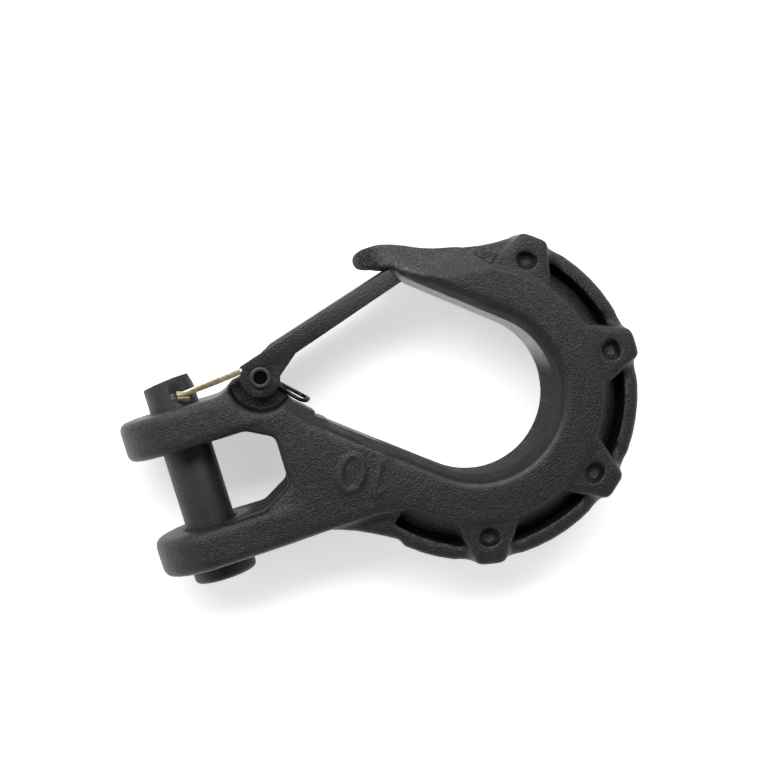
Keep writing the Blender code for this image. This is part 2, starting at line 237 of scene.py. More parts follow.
def cut(bm, cutters):
    """Subtract each cutter from a bmesh with an exact Boolean; returns the result."""
    target = link("work", to_mesh("work", bm))
    helpers = []
    for index, cutter in enumerate(cutters):
        helper = link(f"cutter_{index}", to_mesh(f"cutter_{index}", cutter))
        step = target.modifiers.new(helper.name, "BOOLEAN")
        step.operation = "DIFFERENCE"
        step.solver = "EXACT"
        step.object = helper
        helpers.append(helper)
    result = bmesh.new()
    mesh = evaluated(target)
    result.from_mesh(mesh)
    for obj in helpers + [target]:
        bpy.data.objects.remove(obj, do_unlink=True)
    bmesh.ops.dissolve_limit(result, angle_limit=math.radians(1.0), verts=result.verts, edges=result.edges)
    return result


def finish_piece(name, bm, look, body, node, turn=None):
    """Place a bmesh modelled in millimetres from the pin, and let it stand for its CAD node.

    A piece that bends between two bodies is given no body here.
    """
    if turn is not None:
        bmesh.ops.transform(bm, matrix=turn, verts=bm.verts)
    bmesh.ops.transform(bm, matrix=Matrix.Translation(PIN) @ Matrix.Scale(MM, 4), verts=bm.verts)
    mesh = to_mesh(name, bm)
    mesh.shade_smooth()
    mesh.set_sharp_from_angle(angle=math.radians(40))
    piece = link(name, mesh)
    mesh.materials.append(look)
    if body is not None:
        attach(piece, body)
    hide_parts(node)
    return piece


# ---- materials ---------------------------------------------------------------------------

class Graph:
    """A material's node tree with short calls to add and join nodes."""

    def __init__(self, name):
        self.material = bpy.data.materials.new(name)
        self.material.use_nodes = True
        self.tree = self.material.node_tree
        self.shader = self.tree.nodes["Principled BSDF"]
        self.coords = self.tree.nodes.new("ShaderNodeTexCoord").outputs["Object"]

    def add(self, kind, **settings):
        node = self.tree.nodes.new(kind)
        for key, value in settings.items():
            setattr(node, key, value)
        return node

    def join(self, output, socket):
        self.tree.links.new(output, socket)

    def noise(self, scale, detail=3.0, roughness=0.55, distortion=0.0, stretch=None):
        node = self.add("ShaderNodeTexNoise")
        node.inputs["Scale"].default_value = scale
        node.inputs["Detail"].default_value = detail
        node.inputs["Roughness"].default_value = roughness
        node.inputs["Distortion"].default_value = distortion
        source = self.coords
        if stretch is not None:
            mapping = self.add("ShaderNodeMapping")
            mapping.inputs["Scale"].default_value = stretch
            self.join(source, mapping.inputs["Vector"])
            source = mapping.outputs["Vector"]
        self.join(source, node.inputs["Vector"])
        return node.outputs["Fac"]

    def attribute(self, name):
        return self.add("ShaderNodeAttribute", attribute_name=name).outputs["Fac"]

    def ramp(self, value, low, high, start=0.0, end=1.0):
        """Map a range of a value to another range, held at both ends."""
        node = self.add("ShaderNodeMapRange", clamp=True)
        node.inputs["From Min"].default_value = start
        node.inputs["From Max"].default_value = end
        node.inputs["To Min"].default_value = low
        node.inputs["To Max"].default_value = high
        self.join(value, node.inputs["Value"])
        return node.outputs["Result"]

    def math(self, operation, first, second):
        node = self.add("ShaderNodeMath", operation=operation)
        for socket, value in zip(node.inputs, (first, second)):
            if isinstance(value, (int, float)):
                socket.default_value = value
            else:
                self.join(value, socket)
        return node.outputs["Value"]

    def mix(self, factor, first, second):
        node = self.add("ShaderNodeMix", data_type="RGBA")
        self.join(factor, node.inputs["Factor"])
        for socket, colour in zip((node.inputs["A"], node.inputs["B"]), (first, second)):
            if isinstance(colour, bpy.types.NodeSocket):
                self.join(colour, socket)
            else:
                socket.default_value = (*colour[:3], 1.0)
        return node.outputs["Result"]

    def bump(self, heights):
        """Stack bumps, each given as (height, depth in metres)."""
        normal = None
        for height, depth in heights:
            node = self.add("ShaderNodeBump")
            node.inputs["Strength"].default_value = 1.0
            node.inputs["Distance"].default_value = depth
            self.join(height, node.inputs["Height"])
            if normal is not None:
                self.join(normal, node.inputs["Normal"])
            normal = node.outputs["Normal"]
        self.join(normal, self.shader.inputs["Normal"])

    def finish(self, colour, roughness, metallic=0.0, specular=0.5):
        self.join(colour, self.shader.inputs["Base Color"])
        self.join(roughness, self.shader.inputs["Roughness"])
        self.shader.inputs["Metallic"].default_value = metallic
        self.shader.inputs["Specular IOR Level"].default_value = specular
        return self.material


def forged_coat(settings):
    """Thin satin black coat over blasted forged steel, scuffed lighter along its ridges, with painted
    highlights on lit places and a painted reflection on the throat's strip under the nose.
    """
    g = Graph("forged_black_coat")
    grain = g.noise(4800, 1.0, 0.5, 0.0)
    pebble = g.noise(2500, 1.0, 0.5, 0.0)
    scale = g.noise(260, 4.0, 0.55)
    cloud = g.noise(45, 3.0, 0.5)
    ridge = g.attribute("ridge")
    strip = g.attribute("strip")
    painted_reflection = g.attribute("painted_reflection")
    smooth = g.attribute("smooth")
    height = g.math("ADD", g.math("MULTIPLY", grain, 0.6), g.math("MULTIPLY", pebble, 0.4))
    top = g.ramp(height, 0, 1, 0.42, 0.64)
    colour = g.mix(top, settings.coat_dark, settings.coat_light)
    colour = g.mix(g.ramp(cloud, 0.0, 0.35, 0.4, 0.7), colour, settings.coat_dark)
    # ridges scuffed lighter, and painted highlights where the ridge mask holds the lit places
    lightened = g.math("MULTIPLY", g.ramp(ridge, 0.0, 1.0, 0.1, 0.9), g.ramp(top, 0.0, 1.0, 0.45, 0.95))
    colour = g.mix(g.math("MULTIPLY", lightened, settings.scuff_and_highlight_amount), colour, settings.scuffed_and_lit)
    marks = g.noise(420, 3.0, 0.6, 0.0, (0.25, 1.0, 3.0))
    colour = g.mix(g.math("MULTIPLY", strip, g.ramp(marks, 0.3, 0.7, 0.3, 0.7)), colour, settings.trimmed)
    # painted reflection: the strip's upper part under the nose is painted light grey, standing for the floor
    # mirrored there
    colour = g.mix(g.math("MULTIPLY", painted_reflection, g.ramp(marks, 0.5, 1.0, 0.35, 0.6)), colour, settings.painted_reflection)
    rough = g.math("ADD", g.ramp(scale, 0.30, 0.38), g.ramp(pebble, 0.14, 0.0))
    rough = g.math("ADD", rough, g.math("MULTIPLY", g.attribute("matt"), 0.6))
    open_face = g.math("SUBTRACT", 1.0, g.math("MULTIPLY", smooth, 0.75))
    g.bump([
        (scale, 0.00014),
        (g.math("MULTIPLY", pebble, open_face), 0.00025 * settings.grain),
        (g.math("MULTIPLY", grain, open_face), 0.00007 * settings.grain),
    ])
    return g.finish(colour, rough, 0.0, settings.gloss)


def drawn_black(name, dark, light, grain_depth, rough_low, rough_high, waves=0.00012):
    """Smoother black finish of the pin, latch and rivet."""
    g = Graph(name)
    grain = g.noise(2300, 2.0, 0.5, 0.3)
    broad = g.noise(160, 3.0, 0.5)
    ridge = g.attribute("ridge")
    colour = g.mix(g.ramp(grain, 0.0, 1.0, 0.35, 0.7), dark, light)
    lightened = g.math("MULTIPLY", g.ramp(ridge, 0.0, 0.8, 0.2, 0.9), g.ramp(grain, 0.3, 1.0, 0.35, 0.65))
    colour = g.mix(lightened, colour, [value * 3.0 for value in light[:3]])
    rough = g.ramp(broad, rough_low, rough_high, 0.3, 0.7)
    g.bump([(broad, waves), (grain, grain_depth)])
    return g.finish(colour, rough, 0.0, 0.5)


def bare_metal(name, dark, light, rough_low, rough_high):
    """Plated or uncoated metal with fine grain and faint stains."""
    g = Graph(name)
    grain = g.noise(1700, 3.0, 0.6)
    stain = g.noise(330, 3.0, 0.55)
    colour = g.mix(g.ramp(stain, 0.0, 1.0, 0.35, 0.7), light, dark)
    rough = g.ramp(grain, rough_low, rough_high, 0.3, 0.7)
    g.bump([(grain, 0.00003)])
    return g.finish(colour, rough, 1.0, 0.5)


# ---- numbers for each vertex -------------------------------------------------------------

def vertex_places(mesh):
    place = np.zeros(len(mesh.vertices) * 3)
    mesh.vertices.foreach_get("co", place)
    return place.reshape(-1, 3)


def vertex_normals(mesh):
    normal = np.zeros(len(mesh.vertices) * 3)
    mesh.vertices.foreach_get("normal", normal)
    return normal.reshape(-1, 3)


def rise(value, start, length):
    """0 before the start, 1 a length further on; a negative length falls the other way."""
    return np.clip((value - start) / length, 0, 1)


def band(value, low, high, fade):
    """1 between two limits, falling to 0 over a distance on either side."""
    return np.clip((value - low) / fade + 1, 0, 1) * np.clip((high - value) / fade + 1, 0, 1)


def from_centre(place, centre):
    """Distance of each point from an upright axis."""
    return np.hypot(place[:, 0] - centre.x, place[:, 1] - centre.y)


def away_from(place, centre, radius):
    """0 inside a circle round an upright axis, 1 well outside it."""
    return rise(from_centre(place, centre), radius, 1.5)


def draw_in(place, amount):
    """Move points towards the bowl's centre by the given amounts."""
    flat = place[:, :2] - np.array(BOWL[:2])
    place[:, :2] -= flat / np.maximum(from_centre(place, BOWL), 0.001)[:, None] * amount[:, None]
    return place


def paint(mesh, name, values):
    """Store one number for each vertex, for a material to read."""
    mask = mesh.attributes.new(name, "FLOAT", "POINT")
    mask.data.foreach_set("value", values.astype(np.float32))


def paint_ridges(mesh, gain, passes, sheltered=0.0, scuffed_and_lit=0.0):
    """Store as 'ridge', 0 to 1, how far each vertex stands proud of its neighbours.

    Sheltered places are left out, and the places in the last argument, where painted highlights go, have at
    least that value.
    """
    count = len(mesh.vertices)
    place = vertex_places(mesh)
    normal = vertex_normals(mesh)
    pair = np.zeros(len(mesh.edges) * 2, dtype=np.int64)
    mesh.edges.foreach_get("vertices", pair)
    pair = pair.reshape(-1, 2)
    total = np.zeros((count, 3))
    share = np.zeros(count)
    for here, there in ((0, 1), (1, 0)):
        np.add.at(total, pair[:, here], place[pair[:, there]])
        np.add.at(share, pair[:, here], 1.0)
    proud = ((place - total / share[:, None]) * normal).sum(1)
    for _ in range(passes):
        total = proud.copy()
        for here, there in ((0, 1), (1, 0)):
            np.add.at(total, pair[:, here], proud[pair[:, there]])
        proud = total / (share + 1.0)
    paint(mesh, "ridge", np.maximum(np.clip(proud * gain, 0.0, 1.0) * (1.0 - sheltered), scuffed_and_lit))


def inside_throat_walls(place):
    """1 beside the throat's own walls, 0 past their ends."""
    along = (place[:, :2] - np.array(BOWL[:2])) @ np.array(THROAT_RUN[:2])
    return np.clip((THROAT_WALL - 3.5 - along) / 1.5, 0, 1)


def throat_distance(place):
    """How far points lie outside the throat's wall, in millimetres, from (x, y, z) rows."""
    flat = place[:, :2] - np.array(BOWL[:2])
    run = np.array(THROAT_RUN[:2])
    along = flat @ run
    across = np.abs(flat[:, 0] * run[1] - flat[:, 1] * run[0])
    return np.where(along < 0, np.hypot(along, across), across) - THROAT_R


# ---- forged body -------------------------------------------------------------------------

def add_size_mark(bm, settings):
    """The raised chain size, 10, read from the bowl's side and running along the shank."""
    tilt = Matrix.Translation(MARK) @ Matrix.Rotation(math.radians(151.0), 4, "Z")
    high = settings.mark_height
    wide = high * 0.33
    centre = Vector((high * 0.33, 0, 0))
    zero = [centre + Vector((wide * math.cos(t), high / 2 * math.sin(t), 0))
            for t in (math.tau * i / 36 for i in range(36))]
    stroke = [(x * settings.mark_stroke, y * settings.mark_relief) for x, y in circle_section(1.0, 12)]
    sweep(bm, [tilt @ point for point in zero], stroke, closed=True)
    left = -high * 0.42
    one = [Vector((left - 1.7, high * 0.26, 0)), Vector((left, high / 2, 0)), Vector((left, -high / 2, 0))]
    one = one[:1] + [p.to_3d() for p in rounded_corner(one[1], one[0], one[2], 0.7, 3)] + one[2:]
    sweep(bm, [tilt @ point for point in one], stroke)


def shoulder_cutter(side):
    """Wedge that carries the throat's bevel on past the straight wall to the latch's recess."""
    start, end = SHOULDER
    along = (end - start).normalized()
    out = Vector((-along.y, along.x, 0.0))
    slope = (out * 4.0 + Vector((0, 0, 2.7 * side))).normalized()
    bm = bmesh.new()
    bmesh.ops.create_cube(bm, size=1.0)
    bmesh.ops.scale(bm, vec=((end - start).length, 14.0, 8.0), verts=bm.verts)
    bmesh.ops.translate(bm, vec=(0, 0, 4.0), verts=bm.verts)
    place = Matrix((along, slope.cross(along), slope)).transposed().to_4x4()
    place.translation = (start + end) / 2 + Vector((0, 0, 8.0 * side))
    bmesh.ops.transform(bm, matrix=place, verts=bm.verts)
    return bm


def settle_rim(place):
    """The rim and its lugs sit a little closer in towards the nose than a true circle."""
    far = from_centre(place, BOWL)
    towards_nose = (place[:, :2] - np.array(BOWL[:2])) @ np.array((0.62, 0.78))
    facing = np.clip(towards_nose / np.maximum(far, 0.001), 0, 1)
    return draw_in(place, 0.75 * rise(far, 35.0, 7.0) * facing ** 2 * rise(place[:, 0], 76.0, 6.0))


def deepen_slit(place):
    """The rim stands close to the crown's sloping side, with a narrow deep slit between them."""
    far = from_centre(place, BOWL)
    floor = band(far, SKIRT_R + 0.4, SKIRT_R + 1.6, 0.4) * (np.abs(place[:, 2]) < SLIT_HALF)
    place[:, 2] *= 1.0 - 0.75 * floor * (place[:, 0] > NECK_X)
    share = rise(far, SKIRT_R, 1.6)
    return draw_in(place, 0.55 * share * share * (3.0 - 2.0 * share) * rise(far, 42.0, -2.0))


def weight_group(obj, name, weights):
    """A vertex group with the weights rounded to twentieths."""
    group = obj.vertex_groups.new(name=name)
    levels = np.rint(np.clip(weights, 0, 1) * 20).astype(int)
    for level in range(1, 21):
        chosen = np.nonzero(levels == level)[0]
        if len(chosen):
            group.add(chosen.tolist(), level / 20, "REPLACE")


def melt_weights(place):
    """How strongly each corner of the forging is rounded: fine everywhere, broad along the ridges."""
    outside = throat_distance(place)
    level = np.abs(place[:, 2])
    fine = 1.0 - 0.85 * np.exp(-(outside / 1.5) ** 2) * (level < 9.0)
    fine *= 0.25 + 0.75 * away_from(place, MARK, MARK_CLEAR)
    nose = rise(place[:, 0], 78.0, -16.0) * rise(place[:, 1], 33.0, 2.0)
    ridge = band(outside, 1.2, 6.5, 1.0) * rise(level, 8.4, 1.0)
    shank = band(place[:, 0], 22.0, 46.0, 4.0) * rise(level, 8.0, 1.5)
    shank *= away_from(place, PIVOT, 8.9)
    lowered = band(place[:, 1], -40.0, 10.0, 3.0) * band(place[:, 0], 46.0, 58.0, 3.0) * (outside > 12)
    broad = np.maximum.reduce([nose, ridge, shank, 0.5 * lowered * (level > 8)])
    broad *= away_from(place, MARK, MARK_CLEAR)
    lugs = np.zeros(len(place))
    for index in range(LUG_COUNT):
        far = from_centre(place, polar(BOWL, LUG_R, LUG_FIRST + LUG_STEP * index))
        lugs = np.maximum(lugs, band(far, 4.4, 9.5, 0.8) * (level > 3.0))
    ears = rise(place[:, 0], 22.0, -4.0)
    return fine, np.maximum.reduce([broad, 0.95 * lugs * (outside > 14), 0.3 * ears])


def forged_body(settings):
    """The CAD body, remeshed finely so that its corners melt together as a forging's do."""
    bm = bmesh.new()
    bm.from_mesh(frame["nodes"]["hook_body"].data)
    bmesh.ops.remove_doubles(bm, verts=bm.verts, dist=0.000001)
    bmesh.ops.transform(bm, matrix=Matrix.Scale(1 / MM, 4) @ Matrix.Translation(-PIN), verts=bm.verts)
    bm = cut(bm, [shoulder_cutter(1), shoulder_cutter(-1)])
    add_size_mark(bm, settings)
    work = link("forging_work", to_mesh("forging_work", bm))
    remesh = work.modifiers.new("fine", "REMESH")
    remesh.mode = "VOXEL"
    remesh.voxel_size = settings.voxel / MM
    mesh = evaluated(work)
    bpy.data.objects.remove(work, do_unlink=True)
    mesh.vertices.foreach_set("co", deepen_slit(vertex_places(mesh)).ravel())
    fine = link("forging_fine", mesh)
    close, broad = melt_weights(vertex_places(mesh))
    for name, weights, rounds in (("broad", broad, settings.broad_melt), ("close", close, settings.melt)):
        weight_group(fine, name, weights)
        soften = fine.modifiers.new(name, "SMOOTH")
        soften.factor = 0.5
        soften.iterations = rounds
        soften.vertex_group = name
    thin = fine.modifiers.new("thin", "DECIMATE")
    thin.ratio = min(1.0, settings.triangles / (2.0 * len(mesh.polygons)))
    done = evaluated(fine)
    bpy.data.objects.remove(fine, do_unlink=True)
    roughen(done, settings)
    return done


def roughen(mesh, settings):
    """Low hammered unevenness, and the trimmed parting line round the outside."""
    normal = vertex_normals(mesh)
    place = vertex_places(mesh)
    outside = throat_distance(place)
    uneven = np.array([noise.noise(Vector(p) * 0.22) + 0.5 * noise.noise(Vector(p) * 0.6) for p in place])
    amount = settings.unevenness / MM * (uneven - 0.8)
    upright = np.clip(1.0 - np.abs(normal[:, 2]) * 2.0, 0.0, 1.0)
    rim = upright * (outside > 6.0) * (place[:, 0] > 30.0)
    beside_line = np.clip((np.abs(place[:, 2]) - 1.2) / 0.5, 0.0, 1.0)
    amount -= settings.parting_line / MM * rim * beside_line
    amount *= np.where((np.abs(outside) < 1.0) & (np.abs(place[:, 2]) < STRIP_HALF), 0.25, 1.0)
    mesh.vertices.foreach_set("co", settle_rim(place + normal * amount[:, None]).ravel())
    mesh.update()


class HookForgingSettings(PropertyGroup):
    """Shape and coat of the forged body."""
    voxel: FloatProperty(name="Cell size", description="Size of the cells that the forging is remeshed with",
                         default=0.00036, min=0.0002, unit="LENGTH", subtype="DISTANCE", precision=5)
    melt: IntProperty(name="Melt", description="How many times corners are softened", default=8, min=0)
    broad_melt: IntProperty(name="Broad melt", description="How many times the long ridges are softened",
                            default=110, min=0)
    triangles: IntProperty(name="Triangles", description="About how many triangles the forging keeps",
                           default=180000, min=1000)
    unevenness: FloatProperty(name="Unevenness", description="Height of the forging's low waves",
                              default=0.00006, min=0.0, unit="LENGTH", subtype="DISTANCE", precision=6)
    parting_line: FloatProperty(name="Parting line", description="How far the die's parting line stands out",
                                default=0.00018, min=0.0, unit="LENGTH", subtype="DISTANCE", precision=6)
    mark_height: FloatProperty(name="Mark height", description="Height of the size mark in millimetres",
                               default=9.0, min=1.0)
    mark_stroke: FloatProperty(name="Mark stroke", description="Half the width of its strokes in millimetres",
                               default=0.85, min=0.1)
    mark_relief: FloatProperty(name="Mark relief", description="How far the mark stands out in millimetres",
                               default=0.72, min=0.1)
    grain: FloatProperty(name="Grain", description="Depth of the blasted grain", default=1.0, min=0.0)
    # also sets how strongly the painted highlights show
    scuff_and_highlight_amount: FloatProperty(name="Wear", description="How far ridges are rubbed lighter", default=0.6,
                        min=0.0, max=1.0)
    coat_dark: FloatVectorProperty(name="Coat, dark", description="Colour in the hollows of the grain",
                                   default=(0.004, 0.004, 0.005), subtype="COLOR", min=0.0, max=1.0)
    coat_light: FloatVectorProperty(name="Coat, light", description="Colour on top of the grain",
                                    default=(0.009, 0.009, 0.010), subtype="COLOR", min=0.0, max=1.0)
    # also the colour of the painted highlights
    scuffed_and_lit: FloatVectorProperty(name="Rubbed", description="Colour of the worn ridges",
                                default=(0.150, 0.150, 0.154), subtype="COLOR", min=0.0, max=1.0)
    trimmed: FloatVectorProperty(name="Trimmed", description="Colour of the trimmed strip in the throat",
                                 default=(0.006, 0.007, 0.008), subtype="COLOR", min=0.0, max=1.0)
    # colour of the painted reflection on the strip under the nose
    painted_reflection: FloatVectorProperty(name="Bare", description="Colour where the strip is worn bare under the nose",
                              default=(0.46, 0.465, 0.47), subtype="COLOR", min=0.0, max=1.0)
    gloss: FloatProperty(name="Gloss", description="How strongly the coat reflects", default=0.5,
                         min=0.0, max=1.0)


def painted_highlight_places(place):
    """Where the coat is painted lighter, 0 to 1: painted highlights on the nose face, the bowl's upper face,
    the throat's shoulder and the clevis ears, and painted light on the pockets' sloping sides, which would
    otherwise lie in shade.
    """
    x, y, level = place[:, 0], place[:, 1], np.abs(place[:, 2])
    far = from_centre(place, BOWL)
    slope = band(far, 34.0, 37.3, 0.4) * band(level, 4.6, 10.3, 0.4)
    nose = rise(x, 80.0, -10.0) * rise(y, 32.0, 3.0) * (level > 3.0)
    bowl_top = band(far, 24.0, 33.0, 3.0) * rise(y, -4.0, 16.0) * (level > 10.0)
    shoulder = band(throat_distance(place), 3.5, 8.0, 3.0) * rise(x, 64.0, -10.0) * (level > 9.0)
    ears = rise(x, 14.0, -6.0)
    return np.maximum.reduce([0.9 * slope, 0.95 * nose, 0.42 * bowl_top, 0.45 * shoulder, 0.3 * ears])


def paint_forging(mesh):
    """Store what the coat's material reads: ridges with painted highlights laid over them, and the places
    with a finish of their own.
    """
    place = (vertex_places(mesh) - np.array(PIN)) / MM
    x, y, level = place[:, 0], place[:, 1], np.abs(place[:, 2])
    outside = throat_distance(place)
    beside_throat = inside_throat_walls(place)
    pocket = band(from_centre(place, BOWL), 33.5, 39.0, 0.5) * (level < 7.0)
    # the ridge mask carries the painted highlights as well as the proud edges
    paint_ridges(mesh, 15000.0, 3, pocket, painted_highlight_places(place))
    strip = rise(np.abs(outside), 1.1, -0.5) * rise(level, STRIP_HALF + 0.3, -0.6)
    strip *= beside_throat * rise(x, np.where(y < 25.0, 47.0, 60.5), 1.5)
    # painted reflection on the upper side of the strip, fading out downwards
    painted_reflection = strip * rise(y, 1.0, 8.0)
    edge = beside_throat * band(outside, 0.0, 2.6, 0.6) * rise(level, STRIP_HALF - 0.2, 0.5)
    nose_end = rise(x, 61.0, -2.0) * (y > 32.0) * (level < 8.0)
    clevis_gap = band(x, 11.0, 22.6, 0.3) * band(y, -12.0, 10.8, 0.3) * (level < 10.0)
    paint(mesh, "strip", strip)
    paint(mesh, "painted_reflection", painted_reflection)
    paint(mesh, "smooth", np.maximum(strip, edge))
    paint(mesh, "matt", np.maximum.reduce([clevis_gap, 0.9 * (strip - painted_reflection), nose_end]))


class HOOK_OT_forged_body(Operator):
    """Build the forged body: clevis ears, shank, bowl, nose and rim"""
    bl_idname = "hook.forged_body"
    bl_label = "Forged body"

    def execute(self, context):
        settings = context.scene.hook_forging
        mesh = forged_body(settings)
        bm = bmesh.new()
        bm.from_mesh(mesh)
        piece = finish_piece("forged_body", bm, forged_coat(settings), "hook", "hook_body")
        paint_forging(piece.data)
        piece.data.set_sharp_from_angle(angle=math.radians(179))
        return {"FINISHED"}


# ---- clevis pin and split pin ------------------------------------------------------------

class HookPinSettings(PropertyGroup):
    """Sizes and colours of the clevis pin and its split pin."""
    radius: FloatProperty(name="Radius", description="Radius of the clevis pin in millimetres",
                          default=6.35, min=1.0)
    top: FloatProperty(name="Top", description="Height of the sawn end above the middle in millimetres",
                       default=27.5, min=1.0)
    head_radius: FloatProperty(name="Head radius", description="Radius of the forged head in millimetres",
                               default=8.1, min=1.0)
    under_head: FloatProperty(name="Under head", description="Place of the bearing face in millimetres",
                              default=-21.2)
    head: FloatProperty(name="Head", description="Thickness of the head in millimetres", default=3.8, min=0.5)
    hole_y: FloatProperty(name="Hole", description="Place of the split pin's hole in millimetres",
                          default=22.7)
    hole_radius: FloatProperty(name="Hole radius", description="Radius of that hole in millimetres",
                               default=1.6)
    black: FloatVectorProperty(name="Black", description="Colour of the pin", default=(0.006, 0.006, 0.007),
                               subtype="COLOR", min=0.0, max=1.0)
    black_light: FloatVectorProperty(name="Black, light", description="Lighter grain of the pin",
                                     default=(0.024, 0.024, 0.027), subtype="COLOR", min=0.0, max=1.0)
    zinc: FloatVectorProperty(name="Zinc", description="Colour of the split pin's plating",
                              default=(0.90, 0.85, 0.66), subtype="COLOR", min=0.0, max=1.0)
    zinc_stain: FloatVectorProperty(name="Zinc stain", description="Colour of the plating's darker stains",
                                    default=(0.55, 0.47, 0.24), subtype="COLOR", min=0.0, max=1.0)


class HOOK_OT_clevis_pin(Operator):
    """Build the headed clevis pin with its sheared end and cross hole"""
    bl_idname = "hook.clevis_pin"
    bl_label = "Clevis pin"

    def execute(self, context):
        s = context.scene.hook_pin
        low = s.under_head - s.head
        corner = rounded_corner((s.head_radius, low), (s.head_radius, s.under_head), (0, low), 1.5, 6)
        shoulder = rounded_corner((s.head_radius, s.under_head), (s.radius, s.under_head),
                                  (s.head_radius, low), 0.4, 3)
        profile = [(0, s.top), (s.radius, s.top), (s.radius, s.under_head)]
        profile += [tuple(point) for point in shoulder + corner] + [(0, low)]
        bm = turned(profile, 72)
        rotate = Matrix.Rotation(math.radians(-90), 4, "X")
        bmesh.ops.transform(bm, matrix=rotate, verts=bm.verts)
        bmesh.ops.remove_doubles(bm, verts=bm.verts, dist=0.001)
        sheared = Vector((-0.09, 1.0, -0.09)).normalized()
        broken = Vector((0.95, 0.35, 0.1)).normalized()
        for normal, point in ((sheared, (0, s.top - 0.6, 0)), (broken, (5.6, s.top - 1.6, 0))):
            geometry = bm.verts[:] + bm.edges[:] + bm.faces[:]
            half = bmesh.ops.bisect_plane(bm, geom=geometry, plane_co=point, plane_no=normal,
                                          clear_outer=True)
            bmesh.ops.holes_fill(bm, edges=edges_in(half["geom_cut"]))
        bmesh.ops.recalc_face_normals(bm, faces=bm.faces)
        top_rim = [e for e in sharp_edges(bm, 25) if min(v.co.y for v in e.verts) > s.under_head + 5]
        round_over(bm, top_rim, 0.35, 3)
        drill = turned([(0, 12), (s.hole_radius, 12), (s.hole_radius, -12), (0, -12)], 32)
        bmesh.ops.translate(drill, vec=(0, s.hole_y, 0), verts=drill.verts)
        bm = cut(bm, [drill])
        mouth = [e for e in sharp_edges(bm, 50) if abs(e.verts[0].co.y - s.hole_y) < 2.2
                 and math.hypot(e.verts[0].co.x, e.verts[0].co.y - s.hole_y) < s.hole_radius + 0.1]
        round_over(bm, mouth, 0.25, 2)
        black = drawn_black("pin_black_finish", s.black, s.black_light, 0.00006, 0.42, 0.58)
        piece = finish_piece("clevis_pin_finished", bm, black, "clevis_pin", "clevis_pin",
                             PIN_TURN)
        paint_ridges(piece.data, 1200.0, 1)
        return {"FINISHED"}


class HOOK_OT_split_pin(Operator):
    """Build the split pin from half-round wire, with its eye and its two bent legs"""
    bl_idname = "hook.split_pin"
    bl_label = "Split pin"

    def execute(self, context):
        s = context.scene.hook_pin
        y, apart, eye_r = s.hole_y, 0.65, 1.8
        back = -(s.radius + 1.6)
        eye = back - eye_r * 1.2
        leg = [(16.0, 24.25, 11.6), (11.0, 23.75, 10.7), (6.0, 23.25, 9.7), (2.6, 22.95, 9.1)]
        leg += [(1.0, 22.9, 8.4), (0.2, y + apart, 7.2), (0, y + apart, 6.0), (0, y + apart, 0.0),
                (0, y + apart, back)]
        loop = [(0, y + eye_r * math.cos(t), eye - eye_r * math.sin(t))
                for t in (math.pi * i / 8 for i in range(9))]
        short = [(0, y - apart, back), (0, y - apart, 0.0), (0, y - apart, 6.2), (0.2, y - apart - 0.2, 7.4),
                 (1.1, y - 1.2, 8.4), (2.2, y - 1.5, 8.9)]
        path = smooth_path(leg + loop + short, 4)
        bm = bmesh.new()
        sweep(bm, path, self.flattened(), swell=self.swell(path))
        round_over(bm, sharp_edges(bm, 60), 0.1, 2)
        zinc = bare_metal("yellow_zinc_plate", s.zinc_stain, s.zinc, 0.25, 0.45)
        finish_piece("split_pin_finished", bm, zinc, "clevis_pin", "split_pin", PIN_TURN)
        return {"FINISHED"}

    def flattened(self):
        """Half-round section with a shallow groove along its crown."""
        crown = [(math.cos(t), 0.85 * math.sin(t) * (1 - 0.3 * math.exp(-(math.cos(t) / 0.2) ** 2)))
                 for t in (math.pi * i / 14 for i in range(15))]
        flat = [(-0.9, -0.35), (-0.4, -0.45), (0.4, -0.45), (0.9, -0.35)]
        return [(0.66 * wide, 0.6 * high) for wide, high in crown + flat]

    def swell(self, path):
        """The long leg is hammered wider towards its end."""
        return [1.0 + 0.45 * min(1.0, max(0.0, (point.x - 1.5) / 8.0)) for point in path]


# ---- latch, rivet and spring -------------------------------------------------------------

class HookLatchSettings(PropertyGroup):
    """Sizes and colours of the latch, its rivet and its spring."""
    half_width: FloatProperty(name="Half width", description="Half the latch's width in millimetres",
                              default=7.0)
    sheet: FloatProperty(name="Sheet", description="Thickness of the cheeks in millimetres", default=1.5)
    web: FloatProperty(name="Web", description="Thickness of the folded web in millimetres", default=1.6)
    fold: FloatProperty(name="Fold", description="Outer radius of the folds in millimetres", default=1.7)
    ear: FloatProperty(name="Ear", description="Radius of the round ears in millimetres", default=5.0)
    rivet_hole: FloatProperty(name="Rivet hole", description="Radius of the rivet's holes in millimetres",
                              default=2.5)
    wire: FloatProperty(name="Wire", description="Radius of the spring's wire in millimetres", default=0.5)
    coil: FloatProperty(name="Coil", description="Radius of the spring's coils in millimetres", default=3.3)
    black: FloatVectorProperty(name="Black", description="Colour of the latch's coat",
                               default=(0.006, 0.006, 0.007), subtype="COLOR", min=0.0, max=1.0)
    black_light: FloatVectorProperty(name="Black, light", description="Lighter grain of the coat",
                                     default=(0.013, 0.013, 0.014), subtype="COLOR", min=0.0, max=1.0)
    loop: FloatProperty(name="Loop", description="Length of the loop's round end in millimetres",
                        default=2.6)
    oiled: FloatVectorProperty(name="Oiled", description="Dark oiled wire", default=(0.016, 0.016, 0.017),
                               subtype="COLOR", min=0.0, max=1.0)


WEB_LINE = (Vector((4.9, 7.4, 0)), Vector((39.0, 17.2, 0)))     # the web's outer face, from the pivot
WEB_LEFT = 3.0                                                  # the web starts this far right of the pivot


def latch_outline(ear_radius):
    ear = [polar((0, 0), ear_radius, degrees) for degrees in range(138, 353, 6)]
    blade = [(10.3, 3.3), (41.2, 12.9), tuple(WEB_LINE[1]), tuple(WEB_LINE[0]), (2.0, 5.7), (-4.4, 3.8)]
    return [tuple(point) for point in ear] + blade


